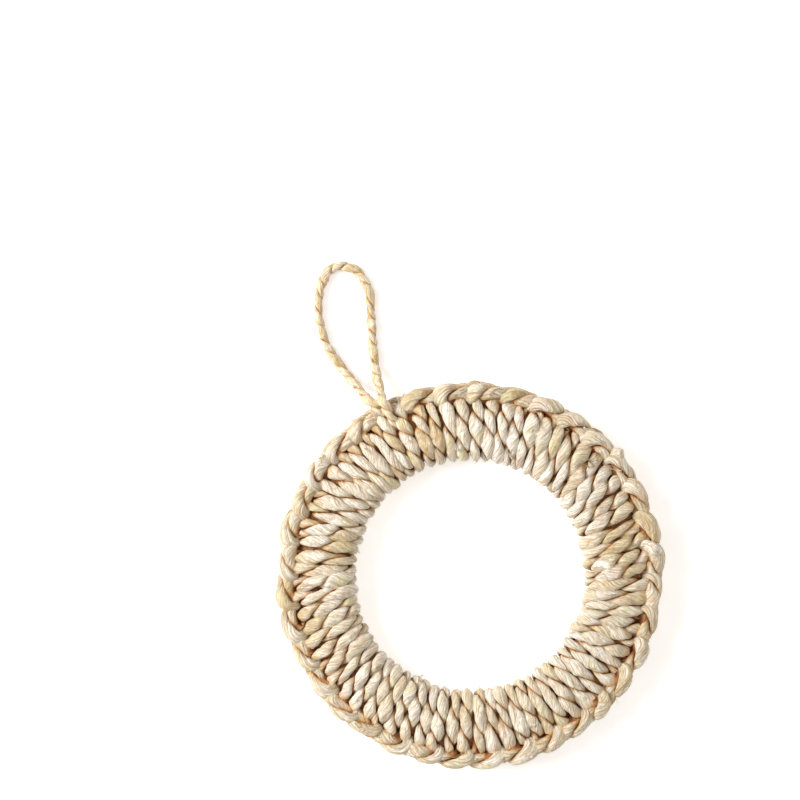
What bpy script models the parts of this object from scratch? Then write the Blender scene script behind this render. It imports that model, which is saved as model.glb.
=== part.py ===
"""A ring crocheted from twisted corn-husk cord, with a thin hanging loop, lying flat.

Metres, +Z up. The ring's axis is Z and its underside is at Z = 0, so the origin is the
centre of the underside. The ring is one solid: its stitches close up to a felted whole
around the filling that they hide. The hanging loop is a cord of its own.
"""

import math

import bmesh
import bpy
from mathutils import Vector

# The ring's overall sizes.
OUTER_RADIUS = 0.1008  # to the crests of the chain that edges the rim
HOLE_RADIUS = 0.0603  # to the crests of the cords that line the hole
THICKNESS = 0.0220  # from the pressed feet of the stitches to their crests on the front

# The stitches. Each stitch is two lengths of cord round the ring and one chain link.
STITCHES = 36
CORD_RELIEF = 0.0034  # how far a cord stands above the groove beside it
CORD_LAY = 0.034  # the length in which the cord's two plies turn once
PLY_GROOVE = 0.0012  # how far the groove between the two plies is sunk in the cord
STITCH_LEAN = math.radians(5.0)  # how far a stitch runs anticlockwise from hole to chain
FIRST_LINK = math.radians(5.4)  # where the middle of the first link is, from +X
PAIR_DRAW = 0.16  # how far a stitch's two cords close up under their link
FOOT_PRESS = 0.0014  # how much of each stitch's underside is pressed flat
RIM_TAPER = 0.0024  # how much lower the stitches lie by the chain than by the hole, on each face

CORD_TUCK = math.radians(32)  # how far above the rim's middle the cords go under the chain
PLY_STAGGER = 2.4  # radians that the plies are turned on from one stitch to the next

# The chain of links along the rim.
CHAIN_WIDTH = 0.0100  # radially
CHAIN_DEPTH = 0.0150  # along Z
CHAIN_LIFT = 0.0010  # how far the chain sits above the ring's middle, towards the front
LINK_RELIEF = 0.0032  # how far a link's plump end stands above the joint beside it

CHAIN_TOP = math.radians(115)  # where the chain's top and foot meet the stitches,
CHAIN_FOOT = math.radians(-119)  # as seen from the middle of the chain

# The hanging loop.
LOOP_DIAMETER = 0.0050

# The route of the hanging loop along its centreline, from one end at the rim to the other.
LOOP_ROUTE = [
    (-0.0457, 0.0911, 0.0132),
    (-0.0467, 0.0955, 0.0110),
    (-0.0482, 0.1010, 0.0074),
    (-0.0496, 0.1070, 0.0042),
    (-0.0506, 0.1130, 0.0030),
    (-0.0514, 0.1240, 0.0028),
    (-0.0521, 0.1374, 0.0028),
    (-0.0532, 0.1489, 0.0028),
    (-0.0562, 0.1560, 0.0028),
    (-0.0606, 0.1607, 0.0028),
    (-0.0658, 0.1628, 0.0028),
    (-0.0711, 0.1625, 0.0028),
    (-0.0755, 0.1594, 0.0028),
    (-0.0785, 0.1532, 0.0028),
    (-0.0799, 0.1445, 0.0028),
    (-0.0797, 0.1345, 0.0028),
    (-0.0776, 0.1253, 0.0028),
    (-0.0735, 0.1172, 0.0028),
    (-0.0684, 0.1098, 0.0031),
    (-0.0630, 0.1032, 0.0048),
    (-0.0582, 0.0974, 0.0084),
    (-0.0540, 0.0922, 0.0118),
    (-0.0505, 0.0875, 0.0132),
]

# How finely the solids are faceted.
COLUMNS_PER_CORD = 3
CORDS_PER_STITCH = 2
WRAP_ROWS = 15
CHAIN_ROWS = 5
ROUTE_STEPS = 3  # facets of the loop's tube for each stretch of its route
TUBE_RESOLUTION = 2  # gives the tube eight sides

# Worked out from the sizes above.
COLUMNS_PER_STITCH = COLUMNS_PER_CORD * CORDS_PER_STITCH
COLUMNS = COLUMNS_PER_STITCH * STITCHES
STITCH_ANGLE = 2 * math.pi / STITCHES
WRAP_RADIUS = OUTER_RADIUS - 0.72 * CHAIN_WIDTH  # where the stitches go under the chain
MIDDLE_RADIUS = (HOLE_RADIUS + WRAP_RADIUS) / 2
WRAP_HALF_WIDTH = (WRAP_RADIUS - HOLE_RADIUS) / 2
WRAP_HEIGHT = (THICKNESS - FOOT_PRESS) / 2  # the middle of the section, along Z
WRAP_HALF_HEIGHT = (THICKNESS + FOOT_PRESS) / 2 - CORD_RELIEF
CHAIN_RADIUS = OUTER_RADIUS - CHAIN_WIDTH / 2
CHAIN_HEIGHT = THICKNESS / 2 + CHAIN_LIFT


def clear_scene():
    """Removes whatever the new file holds."""
    for thing in list(bpy.data.objects):
        bpy.data.objects.remove(thing, do_unlink=True)


def principled(name, colour, roughness):
    """A plain material with a colour and a roughness."""
    material = bpy.data.materials.new(name)
    material.use_nodes = True
    shader = material.node_tree.nodes["Principled BSDF"]
    shader.inputs["Base Color"].default_value = (*colour, 1.0)
    shader.inputs["Roughness"].default_value = roughness
    shader.inputs["Metallic"].default_value = 0.0
    return material


def finished_object(name, mesh, material):
    """Puts a mesh in the scene under its name, shaded smooth up to a crease."""
    mesh.materials.append(material)
    mesh.shade_smooth()
    mesh.set_sharp_from_angle(angle=math.radians(50))
    thing = bpy.data.objects.new(name, mesh)
    bpy.context.collection.objects.link(thing)
    return thing


def rounded_point(half_width, half_height, turn, squareness):
    """A point on a rounded oblong, and the direction that it faces."""
    power = 2 / squareness
    cosine, sine = math.cos(turn), math.sin(turn)
    across = math.copysign(abs(cosine) ** power, cosine) * half_width
    up = math.copysign(abs(sine) ** power, sine) * half_height
    facing = Vector((cosine / half_width, sine / half_height)).normalized()
    return across, up, facing


def wrap_rows():
    """The section's rows under the wrapped cords, from the chain's foot round the hole to its top."""
    first, last = -CORD_TUCK, CORD_TUCK - 2 * math.pi
    rows = []
    for index in range(WRAP_ROWS):
        turn = first + (last - first) * index / (WRAP_ROWS - 1)
        half_width = WRAP_HALF_WIDTH - CORD_RELIEF
        across, up, facing = rounded_point(
            half_width, WRAP_HALF_HEIGHT, turn, squareness=2.7
        )
        share = 0.5 + across / (2 * WRAP_HALF_WIDTH)
        up *= 1 - RIM_TAPER / WRAP_HALF_HEIGHT * share**4
        rows.append((MIDDLE_RADIUS + across, WRAP_HEIGHT + up, facing, "cords"))
    return rows


def chain_rows():
    """The section's rows round the chain, from its top over the rim to its foot."""
    rows = []
    for index in range(CHAIN_ROWS):
        turn = CHAIN_TOP + (CHAIN_FOOT - CHAIN_TOP) * index / (CHAIN_ROWS - 1)
        half_width = CHAIN_WIDTH / 2 - LINK_RELIEF
        half_height = CHAIN_DEPTH / 2 - LINK_RELIEF / 2
        across, up, facing = rounded_point(half_width, half_height, turn, squareness=2)
        rows.append((CHAIN_RADIUS + across, CHAIN_HEIGHT + up, facing, "chain"))
    return rows


def cord_height(across, turn):
    """How high a two-ply cord stands above its groove, at a place across it and a turn of its plies."""
    crest = min(1.0, 1.1 * math.sqrt(1 - min(1.0, 2 * abs(across)) ** 2))
    dip = 0.5 + 0.5 * math.cos(2 * turn - 2 * math.pi * across)
    return crest * (CORD_RELIEF - PLY_GROOVE * dip)


def link_height(along):
    """How high a chain link stands: it swells slowly to its plump end and then drops to the joint."""
    return math.sin(math.pi * along**1.4) ** 0.7


def column_place(column):
    """A column's stitch, its cord in the stitch, its place across the cord and along the stitch."""
    stitch, step = divmod(column, COLUMNS_PER_STITCH)
    cord, part = divmod(step, COLUMNS_PER_CORD)
    across = part / COLUMNS_PER_CORD - 0.5
    along = step / COLUMNS_PER_STITCH
    return stitch, cord, across, along


def surface_point(row, column, travelled):
    """A point of the ring's surface: a place on the section, raised by its cord or link."""
    radius, height, facing, kind = row
    stitch, cord, across, along = column_place(column)
    outward = min(1.0, (radius - HOLE_RADIUS) / (WRAP_RADIUS - HOLE_RADIUS))
    place = (along - 0.5 + 0.5 / COLUMNS_PER_STITCH) * (1 - PAIR_DRAW * outward**2)
    angle = FIRST_LINK + (stitch + place) * STITCH_ANGLE + STITCH_LEAN * (outward - 1)
    if kind == "cords":
        turn = 2 * math.pi * travelled / CORD_LAY + math.pi * cord / 2
        sunk = outward**8
        relief = cord_height(across, turn + stitch * PLY_STAGGER) * (1 - sunk)
    else:
        relief = LINK_RELIEF * link_height(along)
    radius += facing.x * relief
    height += facing.y * relief
    return Vector((radius * math.cos(angle), radius * math.sin(angle), height))


def crocheted_ring(material):
    """The ring: a grid of points round its section, raised into cords and links."""
    rows = wrap_rows() + chain_rows()
    mesh = bmesh.new()
    grid = []
    travelled = 0.0
    for index, row in enumerate(rows):
        if index:
            before = rows[index - 1]
            travelled += math.hypot(row[0] - before[0], row[1] - before[1])
        points = [surface_point(row, column, travelled) for column in range(COLUMNS)]
        pressed = [(point.x, point.y, max(point.z, 0.0)) for point in points]
        grid.append([mesh.verts.new(point) for point in pressed])
    for index, row in enumerate(grid):
        after = grid[(index + 1) % len(grid)]
        for column in range(COLUMNS):
            beside = (column + 1) % COLUMNS
            mesh.faces.new((row[column], row[beside], after[beside], after[column]))
    bmesh.ops.recalc_face_normals(mesh, faces=mesh.faces)
    data = bpy.data.meshes.new("crocheted_ring")
    mesh.to_mesh(data)
    mesh.free()
    return finished_object("crocheted_ring", data, material)


def smooth_route(points, steps):
    """Points read from a smooth curve through the route's own points."""
    places = [Vector(point) for point in points]
    padded = [places[0] * 2 - places[1], *places, places[-1] * 2 - places[-2]]
    route = []
    for index in range(1, len(padded) - 2):
        a, b, c, d = padded[index - 1 : index + 3]
        for step in range(steps):
            t = step / steps
            route.append(
                0.5
                * (
                    2 * b
                    + (c - a) * t
                    + (2 * a - 5 * b + 4 * c - d) * t**2
                    + (3 * b - a - 3 * c + d) * t**3
                )
            )
    route.append(places[-1])
    return route


def hanging_loop(material):
    """The loop that the ring hangs by: a plain tube along the cord's route."""
    route = smooth_route(LOOP_ROUTE, ROUTE_STEPS)
    curve = bpy.data.curves.new("hanging_loop", "CURVE")
    curve.dimensions = "3D"
    curve.bevel_depth = LOOP_DIAMETER / 2
    curve.bevel_resolution = TUBE_RESOLUTION
    curve.use_fill_caps = True
    spline = curve.splines.new("POLY")
    spline.points.add(len(route) - 1)
    for point, place in zip(spline.points, route):
        point.co = (*place, 1.0)
    curve.materials.append(material)
    thing = bpy.data.objects.new("hanging_loop", curve)
    bpy.context.collection.objects.link(thing)
    return thing


clear_scene()
husk = principled("corn_husk", (0.72, 0.60, 0.42), 0.62)
pale_husk = principled("pale_corn_husk", (0.80, 0.69, 0.52), 0.60)
crocheted_ring(husk)
hanging_loop(pale_husk)
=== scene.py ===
# %% [markdown]
# # A ring crocheted from husk cord, with its hanging loop
# The real thing is one long two-ply cord of twisted corn husk, worked in single crochet
# round a ring. Each stitch throws two lengths of cord over the front, round the hole and
# over the back, and closes with a link of the chain that edges the rim. This notebook
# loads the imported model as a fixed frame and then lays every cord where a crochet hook
# would have left it.

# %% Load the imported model
import math

import bpy
import numpy as np
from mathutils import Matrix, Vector


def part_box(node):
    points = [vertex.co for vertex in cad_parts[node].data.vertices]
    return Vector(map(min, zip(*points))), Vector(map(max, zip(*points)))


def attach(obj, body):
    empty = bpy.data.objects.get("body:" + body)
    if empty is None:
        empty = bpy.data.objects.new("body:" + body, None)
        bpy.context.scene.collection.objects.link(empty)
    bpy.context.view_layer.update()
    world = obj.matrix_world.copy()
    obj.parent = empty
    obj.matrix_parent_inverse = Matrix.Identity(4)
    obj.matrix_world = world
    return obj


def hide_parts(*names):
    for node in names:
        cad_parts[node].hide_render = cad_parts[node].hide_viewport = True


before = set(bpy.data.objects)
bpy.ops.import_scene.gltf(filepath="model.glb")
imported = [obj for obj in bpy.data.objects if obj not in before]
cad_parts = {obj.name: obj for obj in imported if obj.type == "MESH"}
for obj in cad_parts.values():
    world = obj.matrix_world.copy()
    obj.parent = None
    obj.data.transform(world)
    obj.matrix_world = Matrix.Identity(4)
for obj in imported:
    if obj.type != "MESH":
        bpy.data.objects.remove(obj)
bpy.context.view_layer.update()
MM = 0.001

# %% [markdown]
# ## Sizes
# A maker would measure the ring first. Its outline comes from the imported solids, so the
# cords always fit it: the rim's radius and the thickness from the ring's box, and the
# hole's radius from the point of the solid that is nearest to the axis. The stitches are
# counted off the real ring: thirty-six links, each ten degrees of the rim.

# %% Measure the ring
ring_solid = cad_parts["crocheted_ring"]
ring_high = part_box("crocheted_ring")[1]
RIM_RADIUS = float(ring_high[0])
TOP = float(ring_high[2])
HOLE_RADIUS = min(math.hypot(v.co.x, v.co.y) for v in ring_solid.data.vertices)

STITCHES = 36
STITCH_ANGLE = 2 * math.pi / STITCHES
FIRST_LINK = math.radians(5.4)  # where the middle of the first link is, from +X
MIDDLE = TOP / 2  # the height of the ring's middle

# %% [markdown]
# ## Camera
# The photograph looks straight down on a flat lay. A photographer would stand on a ladder
# with a long lens, so that nothing leans away at the edges. The ring lies below and right of
# the picture's middle, so the camera hangs over that middle and not over the ring.

# %% Hang the camera over the picture's middle
PICTURE_PIXELS = 800
PIXELS_PER_METRE = 1900
RING_PIXEL = (470, 575)  # the ring's middle in the picture, from its top left
CAMERA_DISTANCE = 1.6

camera_x = (PICTURE_PIXELS / 2 - RING_PIXEL[0]) / PIXELS_PER_METRE
camera_y = (RING_PIXEL[1] - PICTURE_PIXELS / 2) / PIXELS_PER_METRE
bpy.ops.object.camera_add(location=(camera_x, camera_y, MIDDLE + CAMERA_DISTANCE))
camera = bpy.context.object
camera.name = "overhead_camera"
camera.data.lens = camera.data.sensor_width * CAMERA_DISTANCE / (PICTURE_PIXELS / PIXELS_PER_METRE)
bpy.context.scene.camera = camera

# %% [markdown]
# ## Floor and light
# The ring lies on a plain pale table. A large soft box at the left of the picture rakes
# across it: the left of the rim and the right of the hole's edge are bright, and the far
# slopes are in shade, as in the photograph. A wide faint one overhead and the warm air of
# the studio keep the shade open. Both boxes are ordinary area lights.

# %% Lay the floor and hang the soft boxes
FLOOR_SIZE = 6.0
FLOOR_DROP = 0.05 * MM  # below the ring, so that the two never share a plane
SOFT_BOXES = (  # name, place, size in metres, power in watts, colour
    ("key_light", (-1.38, 0.38, 1.08), 1.0, 37.5, (1.0, 0.985, 0.965)),
    ("fill_light", (0.5, 0.3, 2.0), 1.8, 8, (1.0, 0.98, 0.95)),
)
AIR_COLOUR = (1.0, 0.96, 0.89, 1.0)
AIR_STRENGTH = 0.51

bpy.ops.mesh.primitive_plane_add(size=FLOOR_SIZE, location=(0, 0, -FLOOR_DROP))
floor = bpy.context.object
floor.name = "pale_floor"

for name, location, size, power, colour in SOFT_BOXES:
    bpy.ops.object.light_add(type="AREA", location=location)
    lamp = bpy.context.object
    lamp.name = name
    lamp.data.size = size
    lamp.data.energy = power
    lamp.data.color = colour
    aim = Vector((camera_x, camera_y / 2, 0)) - Vector(location)
    lamp.rotation_euler = aim.to_track_quat("-Z", "Y").to_euler()

world = bpy.data.worlds.new("studio_air")
bpy.context.scene.world = world
world.use_nodes = True
air = world.node_tree.nodes["Background"].inputs
air["Color"].default_value = AIR_COLOUR
air["Strength"].default_value = AIR_STRENGTH
bpy.context.scene.view_settings.view_transform = "Standard"

# %% [markdown]
# ## Lines for the cords
# Every cord here follows a line through a few points that a hand could place. The points
# are joined by a smooth curve and read again at even steps, because a cord that is swept
# over uneven steps bunches and creases. At each step the cord needs three directions: along
# itself, outward from what it lies on, and across. The twist is counted from outward.

# %% Read a smooth line through a cord's points
FINE_STEPS = 24  # between two of the given points
LEAST_STEPS = 8  # in a whole line


def smooth_line(points, step):
    """Points every step or so along a smooth curve through the given ones."""
    points = np.asarray(points, float)
    padded = np.vstack([2 * points[0] - points[1], points, 2 * points[-1] - points[-2]])
    pieces = []
    t = np.linspace(0, 1, FINE_STEPS, endpoint=False)[:, None]
    for a, b, c, d in zip(padded, padded[1:], padded[2:], padded[3:]):
        bend = (2 * a - 5 * b + 4 * c - d) * t**2 + (3 * b - a - 3 * c + d) * t**3
        pieces.append(0.5 * (2 * b + (c - a) * t + bend))
    fine = np.vstack(pieces + [points[-1:]])
    lengths = np.linalg.norm(np.diff(fine, axis=0), axis=1)
    along = np.concatenate([[0], np.cumsum(lengths)])
    count = max(LEAST_STEPS, int(round(along[-1] / step)))
    even = np.linspace(0, along[-1], count + 1)
    return np.stack([np.interp(even, along, fine[:, k]) for k in range(3)], axis=1)


def directions(line, outward):
    """Unit vectors along a line, outward from what it lies on, and across both."""
    along = np.gradient(line, axis=0)
    along /= np.linalg.norm(along, axis=1, keepdims=True)
    out = outward - (outward * along).sum(1, keepdims=True) * along
    out /= np.linalg.norm(out, axis=1, keepdims=True)
    return along, out, np.cross(along, out)


def upwards(line):
    """A direction straight up for each point of a line."""
    return np.tile([0.0, 0.0, 1.0], (len(line), 1))


# %% [markdown]
# ## One ply of husk
# A ply is a strip of husk rolled up and twisted. Two of them, laid round each other, press
# flat where they meet, so a ply is wider than it is deep and its section turns with the
# cord. It isn't even: it swells and thins, and its rolled edge stands up as a low ridge that
# winds round it. A swept circle would look like plastic hose, so each ring of points
# gets these faults before it is placed. The husk's own coordinates, round the ply and along
# it, are kept with the points, because streaks and folds in the finish have to follow the husk.

# %% Sweep two plies round a cord's line
AROUND = 18  # points round a ply
CORD_STEP = 0.95 * MM
PLY_OFFSET = 1.85 * MM  # from the cord's line to the middle of a ply
PLY_DEEP = 2.00 * MM  # half a ply's depth, across the line between the two plies
PLY_WIDE = 2.75 * MM  # half its width, along the face where they meet
CORD_HALF = PLY_OFFSET + PLY_DEEP
CORD_LAY = 27 * MM  # the length in which the plies turn once
LAY_WANDER = 0.6  # radians that the twist runs ahead or behind
DWELL = 0.26  # how uneven the twist is: a ply stays on the outside and then crosses quickly
LEAF = 0.15  # how much a ply swells on the outside of the cord, and thins inside
BALANCE = 0.23  # how much fatter than even one ply may be
BALANCE_WANDER = 0.14  # and how much more in places
WINDING = (0.08, 0.28)  # radians that the husk winds round its ply in a millimetre

RIPPLES = ((2, 0.055), (3, 0.045), (5, 0.036), (7, 0.022))  # waves round a ply, and their height
RIPPLE_WANDER = 1.8  # radians that they run round it
EDGE_WANDER = 0.8  # radians that the rolled edge does
EDGE_HEIGHT = 0.085
EDGE_WIDTH = 0.55  # radians
PLY_SWELL = 0.13
PLY_KINKS = 0.085

SHADE_FROM = 0.55  # how high on a cord the shade begins, as a share of half the cord
SHADE_DEPTH = 1.1  # and how far below that it is full
JOINT_SHADE = 0.62  # how much deeper the shade is where the two plies meet
PLY_TONE = (0.37, 0.19)  # the middle and spread of the tones, from cream to tan
TONE_RANGE = (-0.12, 0.12)  # round a tone that is given
TONE_DRIFT = 0.12  # along a ply


def slow_noise(count, knots, rng):
    """A smooth random line of count values between about -1 and 1."""
    places = np.linspace(0, knots - 1, count)
    values = rng.uniform(-1, 1, knots + 2)
    first = np.clip(places.astype(int), 0, knots)
    share = places - first
    share = share * share * (3 - 2 * share)
    return values[first] * (1 - share) + values[first + 1] * share


def wandering(count, spacing, rng):
    """Slow noise with a knot in every few of its values."""
    return slow_noise(count, max(3, count // spacing), rng)


class CordMesh:
    """Gathers the swept plies of one piece, with what the finish needs to know of each point."""

    def __init__(self):
        self.points, self.faces, self.count = [], [], 0
        self.place, self.tone, self.recess = [], [], []

    def add_tube(self, rings, place, tone, recess):
        """Adds one closed tube from its rings of points."""
        steps, around = rings.shape[:2]
        index = self.count + np.arange(steps * around).reshape(steps, around)
        after = np.roll(index, -1, axis=1)
        quads = np.stack([index[:-1], after[:-1], after[1:], index[1:]], axis=-1)
        self.faces += quads.reshape(-1, 4).tolist()
        self.faces += [index[0][::-1].tolist(), index[-1].tolist()]
        self.points.append(rings.reshape(-1, 3))
        self.place.append(place.reshape(-1, 3))
        self.tone.append(np.broadcast_to(tone, (steps, around)).ravel())
        self.recess.append(recess.ravel())
        self.count += steps * around

    def piece(self, name, material):
        """Makes the gathered tubes one object."""
        mesh = bpy.data.meshes.new(name)
        points = np.vstack(self.points)
        points[:, 2] = np.maximum(points[:, 2], 0.0)
        mesh.from_pydata(points.tolist(), [], self.faces)
        place = mesh.attributes.new("husk_place", "FLOAT_VECTOR", "POINT")
        place.data.foreach_set("vector", np.vstack(self.place).astype(np.float32).ravel())
        for key, values in (("husk_tone", self.tone), ("husk_painted_shade", self.recess)):
            layer = mesh.attributes.new(key, "FLOAT", "POINT")
            layer.data.foreach_set("value", np.concatenate(values).astype(np.float32))
        mesh.shade_smooth()
        mesh.materials.append(material)
        made = bpy.data.objects.new(name, mesh)
        bpy.context.collection.objects.link(made)
        print(f"{name}: {len(mesh.polygons)} faces")
        return made


def ply_outline(husk_angle, rng):
    """How much a ply swells at each point, as a factor near 1, from the angles round its husk."""
    steps = len(husk_angle)
    waves = np.zeros(husk_angle.shape)
    for count, height in RIPPLES:
        turn = RIPPLE_WANDER * wandering(steps, 9, rng)[:, None] + rng.uniform(0, 2 * math.pi)
        waves += height * np.cos(count * husk_angle + turn)
    from_edge = (husk_angle + EDGE_WANDER * wandering(steps, 9, rng)[:, None]) % (2 * math.pi)
    waves += EDGE_HEIGHT * np.exp(-((from_edge / EDGE_WIDTH) ** 2))
    swell = PLY_SWELL * wandering(steps, 10, rng)[:, None]
    kinks = PLY_KINKS * wandering(steps, 3, rng)[:, None]
    return 1 + waves + swell + kinks


def lay_cord(mesh, line, outward, rng, size=1.0, across=1.0, lay=CORD_LAY, tone=None, shade=0.0,
             start=None, around=AROUND, deepest=1.3):
    """Lays two plies round a line, S-twisted, and adds them to a piece.

    across squeezes the cord sideways, shade deepens its hollows and deepest is the most that
    they may have; each may be one value or one for each point of the line. One ply is always
    somewhat fatter than the other, and then lies nearer to the middle.
    """
    steps = len(line)
    _, out, side = directions(line, outward)
    length = np.concatenate([[0], np.cumsum(np.linalg.norm(np.diff(line, axis=0), axis=1))])
    start = rng.uniform(0, 2 * math.pi) if start is None else start
    turn = start - 2 * math.pi * length / lay + LAY_WANDER * wandering(steps, 16, rng)
    turn = turn - DWELL * np.sin(2 * turn)
    across = np.broadcast_to(across, (steps,))[:, None, None]
    size, shade, deepest = (np.broadcast_to(value, (steps,))[:, None] for value in (size, shade, deepest))
    angle = np.linspace(0, 2 * math.pi, around, endpoint=False)[None, :]
    balance = rng.uniform(-BALANCE, BALANCE) + BALANCE_WANDER * wandering(steps, 12, rng)
    plies = []
    for ply in range(2):
        share = (1 + balance if ply else 1 - balance)[:, None]
        twist = (turn + math.pi * ply)[:, None]
        winding = rng.uniform(*WINDING) / MM
        husk_angle = angle + twist - (winding * length)[:, None]
        outline = ply_outline(husk_angle, rng) * size * share * (1 + LEAF * np.cos(twist))
        radial = size * PLY_OFFSET * (2 - share) + PLY_DEEP * outline * np.cos(angle)
        sideways = PLY_WIDE * outline * np.sin(angle)
        up = radial * np.cos(twist) - sideways * np.sin(twist)
        over = radial * np.sin(twist) + sideways * np.cos(twist)
        rings = line[:, None] + out[:, None] * up[..., None] + side[:, None] * over[..., None] * across
        away = PLY_WIDE * size
        along = np.broadcast_to((length + rng.uniform(0, 3))[:, None], husk_angle.shape)
        place = np.stack([away * np.cos(husk_angle), away * np.sin(husk_angle), along], axis=-1)
        # Painted shade: the husk is coloured darker low on the cord and where its two plies meet, plus the
        # shade that is given.
        depth = up / (size * CORD_HALF)
        joint = np.clip(-np.cos(angle), 0, 1) ** 2
        recess = np.clip((SHADE_FROM - depth) / SHADE_DEPTH, 0, 1) + JOINT_SHADE * joint + shade
        own_tone = rng.normal(*PLY_TONE) if tone is None else tone + rng.uniform(*TONE_RANGE)
        drift = TONE_DRIFT * wandering(steps, 16, rng)[:, None]
        mesh.add_tube(rings, place, own_tone + drift, np.clip(recess, 0, deepest))
        plies.append((rings.mean(axis=1), twist[:, 0], out, side))
    return plies


# %% [markdown]
# ## Places on the ring
# Stitches are easiest to think of unrolled: how far along the rim, how far from the axis,
# how high. This helper turns such a place into a point of the room. Outward is judged from a
# short spine inside the ring's section, as a hand would feel it: up on the front, down on
# the back, towards the axis in the hole.


# %% Turn places on the ring into points
def ring_points(angles, radii, heights):
    """Points from angles round the ring, distances from its axis and heights."""
    angles, radii, heights = np.broadcast_arrays(angles, radii, heights)
    return np.stack([radii * np.cos(angles), radii * np.sin(angles), heights], axis=-1)


def outward_from(line, spine_low, spine_high, spine_height):
    """Directions away from a spine that runs round the ring between two radii at one height."""
    radius = np.hypot(line[:, 0], line[:, 1])
    nearest = np.clip(radius, spine_low, spine_high)
    radial = line[:, :2] / radius[:, None]
    out = np.column_stack([radial * (radius - nearest)[:, None], line[:, 2] - spine_height])
    return out / np.maximum(np.linalg.norm(out, axis=1, keepdims=True), 1e-9)


# %% [markdown]
# ## The finish of corn husk
# Dry husk is pale and satin, with veins along its length. Where it is rolled, the edge of the
# strip shows as a fine dark line. No two plies have quite the same colour: some are cream,
# some tan, a few greenish or pink. Down in the hollows and low on the cords, shade is painted
# into the colour as orange-brown. The thick cord, the chain's creased one and the thin one all need
# this, so it is built once as node groups: one for the veins and folds, one for the colour.


# %% Small helpers for node trees
def linear(red, green, blue):
    """A colour given as on a screen, from 0 to 255, as the renderer counts it."""
    shares = (value / 255 for value in (red, green, blue))
    return tuple(s / 12.92 if s <= 0.04045 else ((s + 0.055) / 1.055) ** 2.4 for s in shares) + (1.0,)


def add_node(tree, kind, settings=None, **inputs):
    """Adds a node, sets its properties, and joins or sets its inputs by name or number."""
    node = tree.nodes.new(kind)
    for key, value in (settings or {}).items():
        setattr(node, key, value)
    for key, value in inputs.items():
        socket = node.inputs[int(key[1:])] if key[0] == "i" and key[1:].isdigit() else node.inputs[key]
        if isinstance(value, bpy.types.NodeSocket):
            tree.links.new(value, socket)
        else:
            socket.default_value = value
    return node


def maths(tree, operation, *values):
    """A Math node on some values, as one output."""
    inputs = {f"i{index}": value for index, value in enumerate(values)}
    return add_node(tree, "ShaderNodeMath", {"operation": operation}, **inputs).outputs[0]


def noise(tree, place, scale, detail, roughness=0.5):
    """The outputs of a noise texture."""
    inputs = {"Vector": place, "Scale": scale, "Detail": detail, "Roughness": roughness}
    return add_node(tree, "ShaderNodeTexNoise", **inputs).outputs


def smooth_step(tree, value, low, high, to_low=0.0, to_high=1.0):
    """A value taken smoothly from one range to another."""
    settings = {"interpolation_type": "SMOOTHSTEP"}
    inputs = {"Value": value, "From Min": low, "From Max": high, "To Min": to_low, "To Max": to_high}
    return add_node(tree, "ShaderNodeMapRange", settings, **inputs).outputs["Result"]


def stretched(tree, place, share):
    """The husk's coordinates with a share of the length along it, so that marks run that way."""
    factors = add_node(tree, "ShaderNodeCombineXYZ", X=1.0, Y=1.0, Z=share).outputs[0]
    settings = {"operation": "MULTIPLY"}
    return add_node(tree, "ShaderNodeVectorMath", settings, i0=place, i1=factors).outputs[0]


def mixed(tree, share, first, second):
    """Two colours mixed by a share."""
    settings = {"data_type": "RGBA", "blend_type": "MIX"}
    return add_node(tree, "ShaderNodeMix", settings, i0=share, i6=first, i7=second).outputs[2]


def new_group(name, inputs, outputs):
    """An empty node group; returns it, its inputs and its outputs, as seen from inside."""
    group = bpy.data.node_groups.new(name, "ShaderNodeTree")
    for side, sockets in (("INPUT", inputs), ("OUTPUT", outputs)):
        for label, kind in sockets.items():
            group.interface.new_socket(name=label, in_out=side, socket_type=kind)
    return group, group.nodes.new("NodeGroupInput").outputs, group.nodes.new("NodeGroupOutput").inputs


def new_material(name):
    """A new Principled material; returns it, its node tree and its shader's inputs."""
    material = bpy.data.materials.new(name)
    material.use_nodes = True
    return material, material.node_tree, material.node_tree.nodes["Principled BSDF"].inputs


# %% Veins and folds that follow the husk
FLOAT, VECTOR, COLOUR = "NodeSocketFloat", "NodeSocketVector", "NodeSocketColor"
MARKS = ("Veins", "Bands", "Fold Line", "Crumple", "Facet", "Crease")  # what the colour reads
VEIN_STRETCH = 0.05
BAND_FINENESS = 0.3  # of the veins'
BAND_STRETCH = 0.16
EDGE_SCALE = 90.0  # how often the edge wanders in a metre
EDGE_SWAY = 0.9  # and how far, in turns round the ply
DENT_SCALE = 620.0
BEND_SCALE = 240.0
BEND_AMOUNT = (0.0022, 0.0022, 0.0022)  # how far the facets are pushed out of shape
FACET_SCALE = 430.0
FACET_STRETCH = 0.22
RELIEF = (0.40, 0.26, 0.55, 0.28, 0.32)  # of the bands, veins, edge, dents and facets


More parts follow.
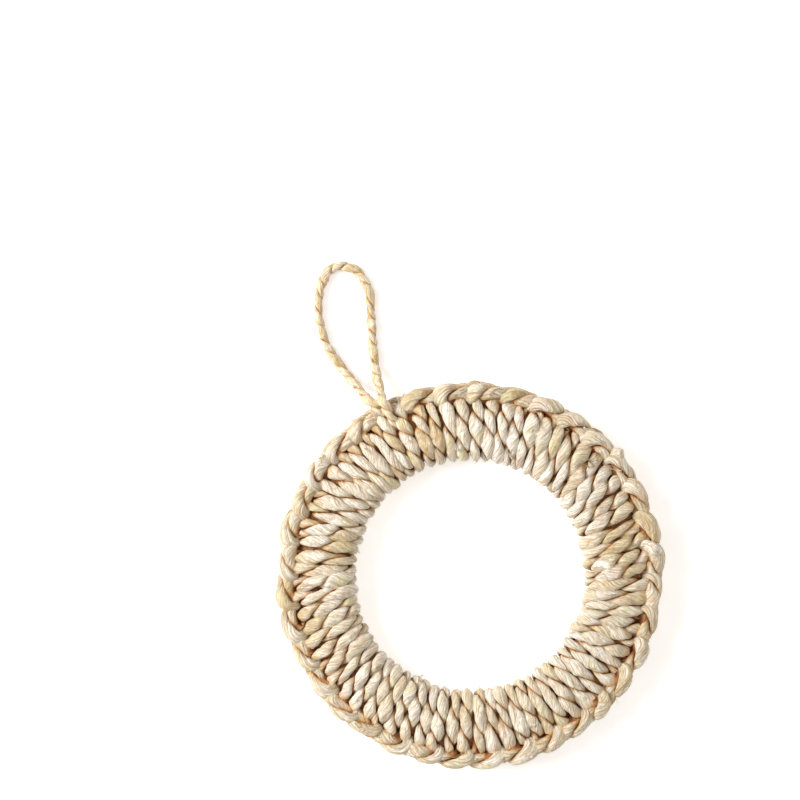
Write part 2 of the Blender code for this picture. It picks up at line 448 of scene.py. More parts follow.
def build_vein_group():
    """Veins along the husk, broader bands, the line of its edge, dents and creased facets."""
    tree, given, result = new_group(
        "husk_veins", {"Place": VECTOR, "Vein Width": FLOAT}, dict.fromkeys((*MARKS, "Height"), FLOAT)
    )
    place = given["Place"]
    fineness = maths(tree, "DIVIDE", 1.0, given["Vein Width"])
    fine = noise(tree, stretched(tree, place, VEIN_STRETCH), fineness, 4.0, 0.65)
    band_fineness = maths(tree, "MULTIPLY", fineness, BAND_FINENESS)
    broad = noise(tree, stretched(tree, place, BAND_STRETCH), band_fineness, 3.0, 0.55)
    veins = smooth_step(tree, fine["Fac"], 0.3, 0.7)
    bands = smooth_step(tree, broad["Fac"], 0.3, 0.7)

    parts = add_node(tree, "ShaderNodeSeparateXYZ", Vector=place).outputs
    turn = maths(tree, "ARCTAN2", parts[1], parts[0])
    share = maths(tree, "MULTIPLY_ADD", turn, 1 / (2 * math.pi), 0.5)
    sway = noise(tree, place, EDGE_SCALE, 1.0)["Fac"]
    fold = maths(tree, "FRACT", maths(tree, "MULTIPLY_ADD", sway, EDGE_SWAY, share))
    line = smooth_step(tree, fold, 0.0, 0.07, 1.0, 0.0)

    crumple = smooth_step(tree, noise(tree, place, DENT_SCALE, 3.0, 0.6)["Fac"], 0.35, 0.65)
    uneven = noise(tree, place, BEND_SCALE, 2.0)["Color"]
    longer = stretched(tree, place, FACET_STRETCH)
    settings = {"operation": "MULTIPLY_ADD"}
    bent = add_node(tree, "ShaderNodeVectorMath", settings, i0=uneven, i1=BEND_AMOUNT, i2=longer).outputs[0]
    cells, edges = (
        add_node(tree, "ShaderNodeTexVoronoi", {"feature": feature}, Vector=bent, Scale=FACET_SCALE).outputs
        for feature in ("F1", "DISTANCE_TO_EDGE")
    )
    facet = add_node(tree, "ShaderNodeSeparateColor", Color=cells["Color"]).outputs[0]
    crease = smooth_step(tree, edges["Distance"], 0.0, 0.07, 1.0, 0.0)
    pillow = smooth_step(tree, edges["Distance"], 0.0, 0.30)

    height = maths(tree, "MULTIPLY", bands, RELIEF[0])
    for value, share in zip((veins, fold, crumple, pillow), RELIEF[1:]):
        height = maths(tree, "MULTIPLY_ADD", value, share, height)
    for label, value in zip((*MARKS, "Height"), (veins, bands, line, crumple, facet, crease, height)):
        tree.links.new(value, result[label])
    return tree


vein_group = build_vein_group()

# %% The colours of husk, from bleached cream to tan, and the orange-brown shade painted into its hollows
HUSK_TONES = (
    (0.00, (249, 247, 241)),
    (0.25, (243, 238, 226)),
    (0.45, (239, 231, 214)),
    (0.62, (231, 219, 194)),
    (0.80, (218, 201, 166)),
    (1.00, (194, 168, 118)),
)
TONE_SHARES = {"Bands": 0.26, "Crumple": 0.20, "Facet": 0.24}  # how far each makes a ply's tone vary
TONE_MIDDLE = 0.34  # about half of their sum
PATCH_SCALE = 95.0
GREEN_CAST = linear(226, 224, 178)
PINK_CAST = linear(238, 210, 196)
VEIN_TAN = linear(183, 151, 107)
LINE_SHARES = {"Fold Line": 0.60, "Crease": 0.52}  # drawn in the tan of the veins
PAINTED_HOLLOW_SHADE = (  # painted shade of the hollows: where on the shade scale a colour begins and where it is full, how strong it is, the colour
    (0.09, 0.53, 0.70, linear(219, 178, 119)),
    (0.38, 0.82, 0.90, linear(174, 110, 48)),
    (0.66, 1.05, 0.95, linear(88, 46, 16)),
)


def build_colour_group():
    """The colour of husk at a point, from its ply's tone, its marks and the shade painted where it lies
    deep.
    """
    tree, given, result = new_group(
        "husk_colour",
        {"Tone": FLOAT, "Recess": FLOAT, "Place": VECTOR, **dict.fromkeys(MARKS, FLOAT)},
        {"Color": COLOUR},
    )
    tone = given["Tone"]
    for mark, share in TONE_SHARES.items():
        tone = maths(tree, "MULTIPLY_ADD", given[mark], share, tone)
    ramp = add_node(tree, "ShaderNodeValToRGB", Fac=maths(tree, "SUBTRACT", tone, TONE_MIDDLE))
    stops = ramp.color_ramp.elements
    for index, (place, colour) in enumerate(HUSK_TONES):
        stop = stops[index] if index < 2 else stops.new(place)
        stop.position = place
        stop.color = linear(*colour)
    patches = noise(tree, given["Place"], PATCH_SCALE, 2.0)["Fac"]
    green = smooth_step(tree, patches, 0.55, 0.70, 0.0, 0.6)
    pink = smooth_step(tree, patches, 0.43, 0.30, 0.0, 0.55)
    colour = mixed(tree, green, ramp.outputs["Color"], GREEN_CAST)
    colour = mixed(tree, pink, colour, PINK_CAST)
    veined = smooth_step(tree, given["Veins"], 0.0, 0.66, 0.85, 0.0)
    colour = mixed(tree, veined, colour, VEIN_TAN)
    for mark, share in LINE_SHARES.items():
        drawn = maths(tree, "MULTIPLY", given[mark], share)
        colour = mixed(tree, drawn, colour, VEIN_TAN)
    for low, high, most, tint in PAINTED_HOLLOW_SHADE:
        deep = smooth_step(tree, given["Recess"], low, high, 0.0, most)
        colour = mixed(tree, deep, colour, tint)
    tree.links.new(colour, result["Color"])
    return tree


colour_group = build_colour_group()


# %% Put the finish together, once for each of the three cords
def husk_material(name, vein_width, relief, roughness):
    """Husk in Principled form, reading the husk's own coordinates from the piece."""
    material, tree, surface = new_material(name)
    place, tone, recess = (
        add_node(tree, "ShaderNodeAttribute", {"attribute_name": key}).outputs[output]
        for key, output in (("husk_place", "Vector"), ("husk_tone", "Fac"), ("husk_painted_shade", "Fac"))
    )
    veins = add_node(tree, "ShaderNodeGroup", {"node_tree": vein_group}, Place=place)
    veins.inputs["Vein Width"].default_value = vein_width
    settings = {"node_tree": colour_group}
    colour = add_node(tree, "ShaderNodeGroup", settings, Place=place, Tone=tone, Recess=recess)
    for label in MARKS:
        tree.links.new(veins.outputs[label], colour.inputs[label])
    tree.links.new(colour.outputs["Color"], surface["Base Color"])
    rough = smooth_step(tree, veins.outputs["Bands"], 0.0, 1.0, roughness + 0.08, roughness - 0.08)
    tree.links.new(rough, surface["Roughness"])
    bump = add_node(tree, "ShaderNodeBump", Strength=0.8, Distance=relief, Height=veins.outputs["Height"])
    tree.links.new(bump.outputs["Normal"], surface["Normal"])
    surface["Specular IOR Level"].default_value = 0.35
    return material


husk = husk_material("twisted_corn_husk", vein_width=0.46 * MM, relief=0.95 * MM, roughness=0.50)
rim_husk = husk_material("creased_rim_husk", vein_width=0.62 * MM, relief=1.50 * MM, roughness=0.52)
pale_husk = husk_material("thin_pale_husk", vein_width=0.36 * MM, relief=0.22 * MM, roughness=0.52)

# %% [markdown]
# ## The hanging loop
# A thin cord of paler husk goes into the rim between two links, out over the table in a
# drop-shaped loop, and back in beside itself. Its route is listed from end to end,
# because it is a free cord: it comes down from the rim in a few centimetres and then lies
# flat. It is laid first, and the stitches then close over its two ends.

# %% Lay the hanging loop
LOOP_DIAMETER = 5.0 * MM
LOOP_FULLNESS = 1.05  # how much larger its plies are laid, as they don't fill its circle
LOOP_LAY = 16 * MM
LOOP_STEP = 0.8 * MM
FLAT = 0.0028  # the height of its middle where it lies on the table
LOOP_ROUTE = [
    (-0.0458, 0.0908, 0.0178), (-0.0470, 0.0955, 0.0138), (-0.0484, 0.1010, 0.0088),
    (-0.0496, 0.1070, 0.0050), (-0.0506, 0.1130, 0.0030), (-0.0514, 0.1240, FLAT),
    (-0.0521, 0.1374, FLAT), (-0.0532, 0.1489, FLAT), (-0.0562, 0.1560, FLAT),
    (-0.0606, 0.1607, FLAT), (-0.0658, 0.1628, FLAT), (-0.0711, 0.1625, FLAT),
    (-0.0755, 0.1594, FLAT), (-0.0785, 0.1532, FLAT), (-0.0799, 0.1445, FLAT),
    (-0.0797, 0.1345, FLAT), (-0.0776, 0.1253, FLAT), (-0.0735, 0.1172, FLAT),
    (-0.0684, 0.1098, 0.0031), (-0.0630, 0.1032, 0.0048), (-0.0582, 0.0974, 0.0090),
    (-0.0540, 0.0924, 0.0142), (-0.0499, 0.0890, 0.0158),
]
RIGHT_TUCK = [  # where its two ends go in between two stitches
    (-0.0386, 0.0775, 0.0120), (-0.0398, 0.0800, 0.0164),
    (-0.0415, 0.0830, 0.0186), (-0.0436, 0.0866, 0.0192),
]
LEFT_TUCK = [(-0.0462, 0.0857, 0.0140), (-0.0436, 0.0820, 0.0118)]

loop_rng = np.random.default_rng(7)
loop_line = smooth_line(RIGHT_TUCK + LOOP_ROUTE + LEFT_TUCK, LOOP_STEP)
loop_mesh = CordMesh()
loop_size = LOOP_FULLNESS * LOOP_DIAMETER / 2 / CORD_HALF
loop_plies = lay_cord(loop_mesh, loop_line, upwards(loop_line), loop_rng, size=loop_size, lay=LOOP_LAY,
                      tone=0.64, shade=-0.08, around=14)
loop_cord = loop_mesh.piece("loop_cord", pale_husk)
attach(loop_cord, "root")
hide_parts("hanging_loop")

# %% [markdown]
# ## The stitches
# For each stitch the hook goes through the hole, catches the cord behind the ring and draws
# a long loop of it up over the front to the rim. So a stitch is a hairpin: up the front to a
# tight turn under the chain, and down again beside itself, with both legs going round the
# hole's edge and over the back. The cords crowd at the hole, where thirty-six stitches share
# a small circle, and stand apart at the rim, drawn together in pairs by the hook.

# %% Work out the hairpin of one stitch
WRAP_INNER = HOLE_RADIUS + 0.97 * CORD_HALF  # where the cord's line runs in the hole
WRAP_OUTER = RIM_RADIUS - 8.0 * MM  # where it turns under the chain
WRAP_HIGH = TOP - 1.02 * CORD_HALF  # how high it runs on the front
WRAP_SQUARE = 2.5  # how square the section of the wrapped ring is
WRAP_TURNS = (-28, -48, -72, -100, -130, -160, -190, -220, -250, -280, -304, -322, -336)  # degrees
RIM_TAPER = 0.35  # how much lower the cords lie by the chain than by the hole
PAIR_DRAW = 0.14  # how far a stitch's two cords close up under their link
SPINE = (WRAP_INNER + 7.5 * MM, WRAP_OUTER - 5 * MM)
UNEVEN_SIDEWAYS = 0.40  # mm in the hole, and twice that by the rim
UNEVEN_RADIUS = 0.45 * MM
UNEVEN_HEIGHT = 0.70 * MM
TURN_OUT = 0.6 * MM  # how much further out than its legs a hairpin turns
TURN_RISE = 2.4 * MM  # above the ring's middle
LOOP_TURN_RISE = -4.0 * MM  # where the hanging loop comes out over it


def section_place(turn, reach):
    """The radius and height of the cord's line at a turn round the ring's section."""
    power = 2 / WRAP_SQUARE
    cosine, sine = np.cos(turn), np.sin(turn)
    half_width = (WRAP_OUTER + reach - WRAP_INNER) / 2
    radius = WRAP_INNER + half_width * (1 + np.sign(cosine) * np.abs(cosine) ** power)
    outward = (radius - WRAP_INNER) / (2 * half_width)
    rise = (WRAP_HIGH - MIDDLE) * np.sign(sine) * np.abs(sine) ** power
    return radius, MIDDLE + rise * (1 - RIM_TAPER * outward**3), outward


def wrap_points(link_angle, lean, rng, reach):
    """The points of one stitch's hairpin, from the back of the rim and to it again.

    reach takes one leg further out to the rim, for a stitch that has no link over it; the
    turn then lies low, under what comes out between the legs.
    """
    turns = np.radians(WRAP_TURNS)
    points = []
    for side, reach_share in ((-1, 0.35), (1, 1.0)):
        radius, height, outward = section_place(turns, reach * reach_share)
        pitch = radius * STITCH_ANGLE
        beside = side * 0.25 * pitch * (1 - (0 if reach else PAIR_DRAW) * outward**3)
        uneven = (UNEVEN_SIDEWAYS + UNEVEN_SIDEWAYS * outward) * MM
        beside = beside + uneven * slow_noise(len(turns), 5, rng)
        radius = radius + UNEVEN_RADIUS * slow_noise(len(turns), 6, rng)
        height = height + UNEVEN_HEIGHT * slow_noise(len(turns), 6, rng)
        angles = link_angle + lean * (outward - 1) + beside / radius
        leg = ring_points(angles, radius, height)
        points.append(leg if side < 0 else leg[::-1])
    rise = LOOP_TURN_RISE if reach else TURN_RISE
    apex = ring_points(link_angle, WRAP_OUTER + TURN_OUT + reach / 2, MIDDLE + rise)
    return np.vstack([points[0], apex[None], points[1]])


# %% [markdown]
# ## The chain
# The last loop of each stitch lies along the rim as one leg on the front and one on the
# back. The front leg comes up beside the curl of the link before, swells as it runs
# anticlockwise, then curls in towards the hole and dives between the tops of the cords.
# The two plies of the leg show side by side: a short plump one inside, and a longer one
# that sweeps round the outer edge and makes the scallop of the silhouette. From the side, a
# strand of the next stitch's cord shows between the two legs, where the hook drew it through.

# %% Work out the legs of one link and the strand between them
FRONT_LEG = (  # along the rim, from the axis less the rim's radius, above the ring's middle, in mm
    (-9.8, -5.0, -1.6), (-9.2, -4.6, 1.0), (-7.6, -4.1, 2.8), (-4.8, -3.6, 4.0), (-1.4, -3.4, 4.6),
    (2.0, -3.6, 5.0), (4.9, -4.3, 5.1), (6.8, -5.4, 4.3), (7.6, -6.5, 2.6), (7.5, -7.2, 0.0),
)
BACK_LEG = (
    (-10.0, -5.0, 0.4), (-8.8, -4.2, -2.4), (-6.0, -3.5, -4.8), (-1.8, -3.2, -5.9),
    (2.4, -3.3, -5.9), (5.8, -4.3, -5.0), (7.6, -6.4, -3.0), (7.8, -8.2, -0.2),
)
MIDDLE_STRAND = (
    (-6.4, -9.4, 0.2), (-4.2, -6.4, 0.3), (-0.5, -5.4, 0.3), (3.2, -6.0, 0.3), (5.8, -9.4, 0.2),
)
LEG_UNEVEN = (0.8 * MM, 0.7 * MM, 0.6 * MM)  # how far a leg strays, in the same three directions
CHAIN_SPINE = RIM_RADIUS - 5.4 * MM
CHAIN_HEIGHT = MIDDLE + 0.2 * MM
CHAIN_SIZE = 0.83  # of a leg at its ends, where the cord is drawn tight
CHAIN_SWELL = 0.22  # how much thicker it is at its middle
CHAIN_WIDEN = 1.12  # how much wider than high it is pressed
CHAIN_LAY = 40 * MM
CHAIN_TONE = (0.50, 0.09)  # middle and spread
LEGS = (  # the leg, the turn of its plies where it begins, the deepest shade of its hollows
    (FRONT_LEG, -0.15, 1.05),
    (BACK_LEG, 2.6, 0.36),
)


def leg_points(link_angle, leg, rng):
    """The points of one leg of a link."""
    parts = zip(np.array(leg).T * MM, LEG_UNEVEN)
    along, depth, rise = (part + uneven * slow_noise(len(leg), 4, rng) for part, uneven in parts)
    return ring_points(link_angle + along / RIM_RADIUS, RIM_RADIUS + depth, MIDDLE + rise)


# %% Crochet the ring
PIECES = 4  # each takes a quarter of the stitches
LOOP_STITCH = 11  # the stitch that the hanging loop comes out of, which has no link in front
LOOP_PUSH = math.radians(0.9)  # how far the loop pushes that stitch on
LOOP_REACH = 5.6 * MM  # how much further out its cord turns
LEANS = (  # angles round the ring, and how many degrees a stitch leans there
    (5, 2.8), (45, 0.4), (80, 0.6), (117, -1.6), (150, 0.0), (190, 1.6),
    (225, 0.4), (260, -0.6), (300, -1.5), (325, -2.4), (345, 0.6),
)
PRESS = 1.16  # how much wider the cords are than their share of the ring, so that they press
CROWDED = (0.72, 1.01)  # the least and most of their own width that they then have
WRAP_LAYS = (0.78, 1.3)  # how the lay varies in the stitches
CHAIN_LAYS = (0.85, 1.2)  # and in the chain
WRAP_SWELL = 0.13
UNDER_SHADE = 0.72  # how much deeper the shade is under the chain
RIM_SHADE = 0.14  # and how much it grows from the hole to there


def stitch_lean(angle, rng):
    """How far the hook pulled the stitch at an angle anticlockwise, in radians."""
    places, leans = zip(*LEANS)
    lean = np.interp(math.degrees(angle), places, leans, period=360)
    return math.radians(lean + rng.uniform(-0.5, 0.5))


def lay_stitch(mesh, angle, lean, reach, rng):
    """Lays the hairpin of one stitch."""
    line = smooth_line(wrap_points(angle, lean, rng, reach), CORD_STEP)
    outward = outward_from(line, *SPINE, MIDDLE)
    radius = np.hypot(line[:, 0], line[:, 1])
    crowd = np.clip(PRESS * radius * STITCH_ANGLE / 2 / (2 * CORD_HALF), *CROWDED)
    under = np.clip((radius - 1.6 * reach - (WRAP_OUTER - 7 * MM)) / (8 * MM), 0, 1)
    towards_rim = np.clip((radius - WRAP_INNER) / (WRAP_OUTER - WRAP_INNER), 0, 1)
    swell = 1 + WRAP_SWELL * slow_noise(len(line), 9, rng)
    lay = CORD_LAY * rng.uniform(*WRAP_LAYS)
    shade = UNDER_SHADE * under**2 + RIM_SHADE * towards_rim
    return lay_cord(mesh, line, outward, rng, size=swell, across=crowd, lay=lay, shade=shade)


def lay_leg(mesh, angle, leg, start, deepest, uncovered, rng):
    """Lays one leg of a link; it is in less shade where no link covers it in front."""
    line = smooth_line(leg_points(angle, leg, rng), CORD_STEP)
    outward = outward_from(line, CHAIN_SPINE, CHAIN_SPINE, CHAIN_HEIGHT)
    from_middle = np.linspace(-1, 1, len(line))
    plump = CHAIN_SIZE + CHAIN_SWELL * (1 - from_middle**4) * rng.uniform(0.8, 1.2)
    tone = rng.normal(*CHAIN_TONE)
    lay = CHAIN_LAY * rng.uniform(*CHAIN_LAYS)
    start = start + rng.uniform(-0.5, 0.5)
    shade = -0.55 if uncovered else 0.72 * from_middle**6 + 0.02
    return lay_cord(mesh, line, outward, rng, size=plump, across=CHAIN_WIDEN, tone=tone, lay=lay,
                    start=start, shade=shade, deepest=deepest + 0.6 * from_middle**8)


crochet_rng = np.random.default_rng(36)
quarters = [CordMesh() for _ in range(PIECES)]
chain = CordMesh()
wrap_plies = []
chain_plies = []
for stitch in range(STITCHES):
    at_loop = stitch == LOOP_STITCH
    angle = FIRST_LINK + (stitch + crochet_rng.uniform(-0.03, 0.03)) * STITCH_ANGLE
    lean = stitch_lean(angle, crochet_rng)
    if at_loop:
        angle += LOOP_PUSH
        lean += LOOP_PUSH
    quarter = quarters[stitch * PIECES // STITCHES]
    wrap_plies += lay_stitch(quarter, angle, lean, LOOP_REACH if at_loop else 0.0, crochet_rng)
    for leg, start, deepest in LEGS[1:] if at_loop else LEGS:
        chain_plies += lay_leg(chain, angle, leg, start, deepest, at_loop, crochet_rng)
    line = smooth_line(leg_points(angle, MIDDLE_STRAND, crochet_rng), CORD_STEP)
    outward = outward_from(line, WRAP_INNER, WRAP_INNER, CHAIN_HEIGHT)
    lay_cord(chain, line, outward, crochet_rng, size=0.90, shade=-0.1, around=12, deepest=0.7)

stitch_pieces = [mesh.piece(f"stitches_{index + 1}", husk) for index, mesh in enumerate(quarters)]
stitch_pieces.append(chain.piece("rim_chain", rim_husk))

# %% [markdown]
# ## The shade between the cords
# Between two cords one looks down on more husk, in deep shade. Two squashed rings stand for
# it: a wide one inside the wrapped part and a thin one inside the chain. They are added as
# plain tori and pressed into shape, because only slits of them ever show.


# %% Fill the ring with shaded husk
def filling_ring(middle_radius, half_width, half_height):
    """A squashed torus round the axis, at the ring's middle."""
    bpy.ops.mesh.primitive_torus_add(
        major_radius=middle_radius, minor_radius=half_width, major_segments=144, minor_segments=20
    )
    made = bpy.context.object
    bpy.ops.object.mode_set(mode="EDIT")
    bpy.ops.mesh.select_all(action="SELECT")
    bpy.ops.transform.resize(value=(1, 1, half_height / half_width))
    bpy.ops.transform.translate(value=(0, 0, MIDDLE))
    bpy.ops.object.mode_set(mode="OBJECT")
    bpy.ops.object.shade_smooth()
    return made


def mottled_material(name, scale, detail, grain_roughness, first, second, roughness):
    """A plain finish in two colours that run into each other; returns also its grain."""
    material, tree, surface = new_material(name)
    spot = add_node(tree, "ShaderNodeTexCoord").outputs["Object"]
    grain = noise(tree, spot, scale, detail, grain_roughness)["Fac"]
    share = smooth_step(tree, grain, 0.35, 0.65)
    tree.links.new(mixed(tree, share, linear(*first), linear(*second)), surface["Base Color"])
    surface["Roughness"].default_value = roughness
    return material, tree, surface, grain


filling = filling_ring((WRAP_INNER + WRAP_OUTER) / 2, (WRAP_OUTER - WRAP_INNER) / 2 - 0.4 * MM, 5.0 * MM)
filling_ring(CHAIN_SPINE - 0.8 * MM, 2.4 * MM, 3.6 * MM)
filling.select_set(True)
bpy.context.view_layer.objects.active = filling
bpy.ops.object.join()
filling.name = "shaded_husk"

shaded, tree, surface, grain = mottled_material(
    "husk_in_shade", 420.0, 4.0, 0.6, (112, 66, 28), (168, 116, 64), roughness=0.8
)
bump = add_node(tree, "ShaderNodeBump", Strength=0.6, Distance=0.6 * MM, Height=grain)
tree.links.new(bump.outputs["Normal"], surface["Normal"])
filling.data.materials.append(shaded)

# %% [markdown]
# ## Loose threads
# Husk is a leaf, and as it is twisted its veins split off as threads. Most lie along their ply
# and lift at one end, a few stand out from the rim and one long one curls into the hole. They
# are drawn as thin tapered curves and then made a mesh. The plies' middles were kept while the
# cords were laid, so a thread can start on top of a ply and follow it. The few that the eye
# catches are placed where the real ring has them.

# %% Find places on the plies that face outwards
THREAD_DEPTH = 0.16 * MM
PLY_SURFACE = 2.15 * MM  # how far a ply's surface is from its middle


def facing_places(plies, rng, count):
    """Random stretches of plies that lie on the outside of their cord."""
    places = []
    while len(places) < count:
        middles, twist, out, side = plies[rng.integers(len(plies))]
        first = int(rng.integers(4, len(middles) - 14))
        outside = math.cos(twist[first] + 0.3) > 0.75
        if outside and middles[first, 2] > 0.0:
            places.append((middles[first:], out[first:], side[first:]))
    return places


def follow_ply(place, rng, steps, lift, drift, size):
    """Points of a thread that leaves the outside of a ply slowly; size is that of the cord."""
    middles, out, side = (part[:steps] for part in place)
    share = np.linspace(0, 1, len(middles))[:, None]
    sway = drift * (share**2) + 0.15 * MM * np.sin(share * rng.uniform(4, 9))
    points = middles + out * (size * PLY_SURFACE + lift * share**2) + side * sway
    points[:, 2] = np.maximum(points[:, 2], 2 * THREAD_DEPTH)
    return points


def pixel_point(pixel_x, pixel_y, height):
    """The point that shows at a pixel of the picture, at a height over the table."""
    x = (pixel_x - RING_PIXEL[0]) / PIXELS_PER_METRE
    y = (RING_PIXEL[1] - pixel_y) / PIXELS_PER_METRE
    nearer = 1 - (height - MIDDLE) / CAMERA_DISTANCE
    return (camera_x + (x - camera_x) * nearer, camera_y + (y - camera_y) * nearer, height)


def pixel_line(route, step):
    """A smooth line through pixels of the picture at heights in mm."""
    return smooth_line([pixel_point(px, py, z * MM) for px, py, z in route], step)


# %% Draw the loose threads
thread_rng = np.random.default_rng(11)
THREADS = (  # plies, number, steps along a ply, draw of the lift, most drift, size of the cord
    (wrap_plies, 130, (5, 13), (thread_rng.choice, [0.2, 0.5, 1.6]), 1.6, 1.0),
    (chain_plies, 70, (4, 9), (thread_rng.uniform, 0.4, 2.2), 2.0, 1.0),
    (loop_plies, 46, (5, 12), (thread_rng.choice, [0.2, 0.4, 1.2]), 1.2, loop_size),
)
SEEN_THREADS = (  # pixels and heights in mm: the curl in the hole, and three spikes at the rim
    ((453, 690, 15), (456, 687, 19), (462, 682, 22), (466, 679, 23), (472, 676, 23), (477, 674, 22.5),
     (481, 671, 22), (483, 667, 21.5)),
    ((612, 694, 12), (615, 697, 12.5), (617, 701, 12), (619, 705, 11.5)),
    ((603, 690, 19), (604, 693, 20), (603, 696, 21)),
    ((622, 470, 18), (619, 466, 20), (614, 465, 20.5)),
)
threads = []
for plies, number, stretch, (draw, *amounts), most_drift, size in THREADS:
    for place in facing_places(plies, thread_rng, number):
        steps = int(thread_rng.integers(*stretch))
        lift = draw(*amounts) * MM
        drift = thread_rng.uniform(-most_drift, most_drift) * MM
        threads.append(follow_ply(place, thread_rng, steps, lift, drift, size))
threads += [pixel_line(route, 0.9 * MM) for route in SEEN_THREADS]

thread_curve = bpy.data.curves.new("loose_threads", "CURVE")
thread_curve.dimensions = "3D"
thread_curve.bevel_depth = THREAD_DEPTH
thread_curve.bevel_resolution = 0
thread_curve.use_fill_caps = True
for points in threads:
    spline = thread_curve.splines.new("POLY")
    spline.points.add(len(points) - 1)
    for index, (point, place) in enumerate(zip(spline.points, points)):
        point.co = (*place, 1.0)
        point.radius = 1.15 - 0.85 * index / (len(points) - 1)
loose_threads = bpy.data.objects.new("loose_threads", thread_curve)
bpy.context.collection.objects.link(loose_threads)
bpy.ops.object.select_all(action="DESELECT")
loose_threads.select_set(True)
bpy.context.view_layer.objects.active = loose_threads
bpy.ops.object.convert(target="MESH")
loose_threads = bpy.context.object

# %% [markdown]
# ## Shreds
# Where a strip of husk ends, its tip stays out of the cord as a curled shred. One shred is
# modelled: a narrow grid is drawn in at its ends, twisted and bent, and given the
# thickness of a leaf. Copies of it, each with its own size and turn, are then pressed to the
# plies and gathered in one piece; the larger ones and the brown tuft lie where the real ring
# has them. Two strips end rolled up: the thick white end at the right of the rim, and the
# pointed scallop above it. They are short tubes with a ply's faults.

# %% Model one shred
SHRED_LENGTH = 6 * MM
SHRED_WIDTH = 1.5 * MM
SHRED_TAPERS = ((0.38, 0.72), (0.46, 0.45))  # from which share of its length, and how narrow
SHRED_CURLS = (("TWIST", "X", 1.1), ("BEND", "Y", 1.3))  # in radians
LEAF_THICKNESS = 0.22 * MM

bpy.ops.mesh.primitive_grid_add(x_subdivisions=10, y_subdivisions=3, size=1)
shred = bpy.context.object
bpy.ops.object.mode_set(mode="EDIT")
bpy.ops.mesh.select_all(action="SELECT")
bpy.ops.transform.resize(value=(SHRED_LENGTH, SHRED_WIDTH, 1))
bpy.ops.object.mode_set(mode="OBJECT")
for end, width in SHRED_TAPERS:
    for vertex in shred.data.vertices:
        vertex.select = abs(vertex.co.x) > end * SHRED_LENGTH
    bpy.ops.object.mode_set(mode="EDIT")
    bpy.ops.transform.resize(value=(1, width, 1))
    bpy.ops.object.mode_set(mode="OBJECT")
for method, axis, amount in SHRED_CURLS:
    deform = shred.modifiers.new(method.lower(), "SIMPLE_DEFORM")
    deform.deform_method = method
    deform.deform_axis = axis
    deform.angle = amount
    bpy.ops.object.modifier_apply(modifier=deform.name)
thicken = shred.modifiers.new("leaf", "SOLIDIFY")
thicken.thickness = LEAF_THICKNESS
bpy.ops.object.modifier_apply(modifier=thicken.name)

# %% Press copies of the shred to the plies
SHREDS = 210
SHRED_SIZES = ((0.5, 1.3), (0.5, 1.0), (0.15, 0.4))  # least and most along, across and in the curl
SHRED_LIFT = 0.35 * MM  # how far above its ply the middle of a shred is
SEEN_LIFT = 0.25 * MM
SEEN_SHREDS = (  # pixel, direction in the picture, size along, across and in the curl, tone
    ((657, 557), (0.4, -1.0), (0.7, 1.6, 1.4), 0.3),
    ((532, 726), (1.0, 0.2), (0.8, 1.7, 1.4), 0.3),
    ((528, 757), (-1.0, 0.3), (0.8, 1.7, 1.2), 0.2),
    ((510, 455), (0.6, -1.0), (1.1, 1.6, 1.4), 0.4),
    ((514, 459), (1.0, -0.6), (0.9, 1.4, 1.6), 0.5),
    ((455, 445), (0.3, -1.0), (1.2, 1.6, 1.4), 0.3),
    ((617, 470), (1.0, -0.2), (1.0, 1.5, 1.4), 0.2),
    ((591, 463), (0.7, -1.0), (0.9, 1.9, 2.0), 1.0),
    ((597, 457), (0.2, -1.0), (0.8, 1.8, 2.2), 0.8),
    ((586, 466), (1.0, -0.4), (0.7, 1.8, 2.2), 1.1),
)
SURFACE_REACH = 1.2 * MM  # how far round a place its height is judged

shred_rng = np.random.default_rng(5)
shred_points = np.array([vertex.co[:] for vertex in shred.data.vertices])
shred_faces = [list(face.vertices) for face in shred.data.polygons]
shred_points -= shred_points.mean(axis=0)
bpy.data.objects.remove(shred, do_unlink=True)
outer_surface = np.vstack([np.vstack(mesh.points) for mesh in (*quarters, chain)])
shreds = CordMesh()


def height_at(x, y):
    """The height of the ring's surface near a place, seen from above."""
    away = np.hypot(outer_surface[:, 0] - x, outer_surface[:, 1] - y)
    return float(outer_surface[away < away.min() + SURFACE_REACH, 2].max())


def add_shred(place, along, out, size, tone):
    """Adds a copy of the shred at a place, lying along one direction and facing another."""
    along = along / np.linalg.norm(along)
    out = out - out.dot(along) * along
    out = out / np.linalg.norm(out)
    turn = np.column_stack([along, np.cross(out, along), out])
    local = shred_points * size
    shreds.faces += [[shreds.count + corner for corner in face] for face in shred_faces]
    shreds.points.append(place + local @ turn.T)
    shreds.place.append(local[:, [1, 2, 0]])
    shreds.tone.append(np.full(len(local), tone))
    shreds.recess.append(np.zeros(len(local)))
    shreds.count += len(local)


for middles, out, side in facing_places(wrap_plies + 2 * chain_plies, shred_rng, SHREDS):
    along = middles[3] - middles[0] + side[0] * shred_rng.normal(0, 1.2 * MM)
    tilt = out[0] + side[0] * shred_rng.normal(0, 0.2)
    size = np.array([shred_rng.uniform(least, most) for least, most in SHRED_SIZES])
    place = middles[0] + out[0] * (PLY_SURFACE + SHRED_LIFT)
    add_shred(place, along, tilt, size, shred_rng.uniform(0, 0.6))
for pixel, direction, size, tone in SEEN_SHREDS:
    x, y, _ = pixel_point(*pixel, TOP)
    place = np.array([x, y, height_at(x, y) + SEEN_LIFT])
    add_shred(place, np.array([*direction, 0.15]), np.array([0.0, 0.2, 1.0]), np.array(size), tone)

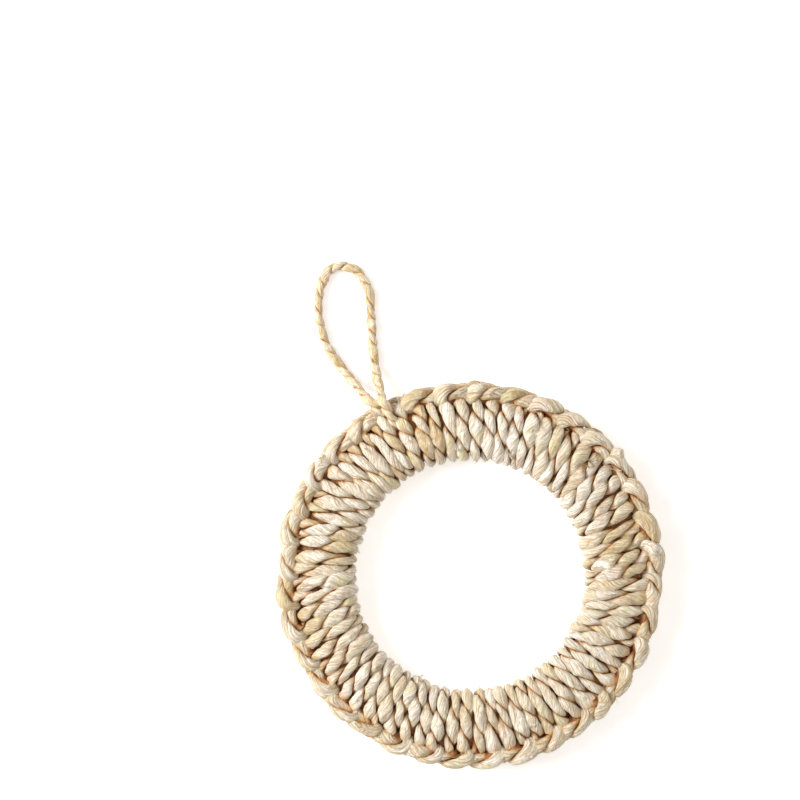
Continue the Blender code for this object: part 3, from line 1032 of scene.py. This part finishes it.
# %% Roll the two thick ends
ROLLED_STEP = 0.5 * MM
ROLLED_ENDS = (  # pixels and heights in mm of its middle line, radii in mm, tone
    (((639, 547, 14.5), (645.5, 543.5, 18.6), (650.5, 545.5, 19.8), (654.5, 549.5, 20.6),
      (660, 551.5, 18.6)), (0.9, 1.5, 2.1, 3.0, 1.5), -0.60),
    (((610, 461, 14.5), (614, 457.5, 15.5), (618.5, 453.5, 15.5), (622.5, 449.8, 14.0)),
     (2.6, 3.6, 3.7, 0.8), 0.25),
)
for route, radii, tone in ROLLED_ENDS:
    line = pixel_line(route, ROLLED_STEP)
    _, out, side = directions(line, upwards(line))
    angle = np.tile(np.linspace(0, 2 * math.pi, AROUND, endpoint=False), (len(line), 1))
    radius = np.interp(np.linspace(0, 1, len(line)), np.linspace(0, 1, len(radii)), radii) * MM
    rough = (1 + ply_outline(angle, shred_rng)) / 2 * radius[:, None]
    up = rough * np.cos(angle)
    over = rough * np.sin(angle)
    rings = line[:, None] + out[:, None] * up[..., None] + side[:, None] * over[..., None]
    along = np.broadcast_to(ROLLED_STEP * np.arange(len(line))[:, None], up.shape)
    shreds.add_tube(rings, np.stack([up, over, along], axis=-1), tone, np.zeros(up.shape))
husk_shreds = shreds.piece("husk_shreds", husk)
husk_shreds.data.set_sharp_from_angle(angle=math.radians(45))

thread_finish = mottled_material(
    "split_husk_threads", 160.0, 2.0, 0.5, (240, 226, 196), (206, 168, 112), roughness=0.55
)[0]
loose_threads.data.materials.append(thread_finish)
for piece in (*stitch_pieces, filling, loose_threads, husk_shreds):
    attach(piece, "root")
    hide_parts("crocheted_ring")

# %% [markdown]
# ## The floor's finish
# The table is plain and pale, with only a breath of unevenness, so that it reads as paper. It is
# lit faintly from below, as a catalogue's table is, so that the ring's shade stays soft.

# %% Finish the floor
CLOUD_SCALE = 3.0
PAPER_VALUES = {
    "Roughness": 0.9,
    "Specular IOR Level": 0.1,
    "Emission Color": (1.0, 1.0, 1.0, 1.0),
    "Emission Strength": 0.38,
}

paper, tree, surface = new_material("pale_paper")
spot = add_node(tree, "ShaderNodeTexCoord").outputs["Object"]
cloud = noise(tree, spot, CLOUD_SCALE, 2.0)["Fac"]
pale = mixed(tree, cloud, linear(250, 250, 249), linear(253, 253, 253))
tree.links.new(pale, surface["Base Color"])
for label, value in PAPER_VALUES.items():
    surface[label].default_value = value
floor.data.materials.append(paper)
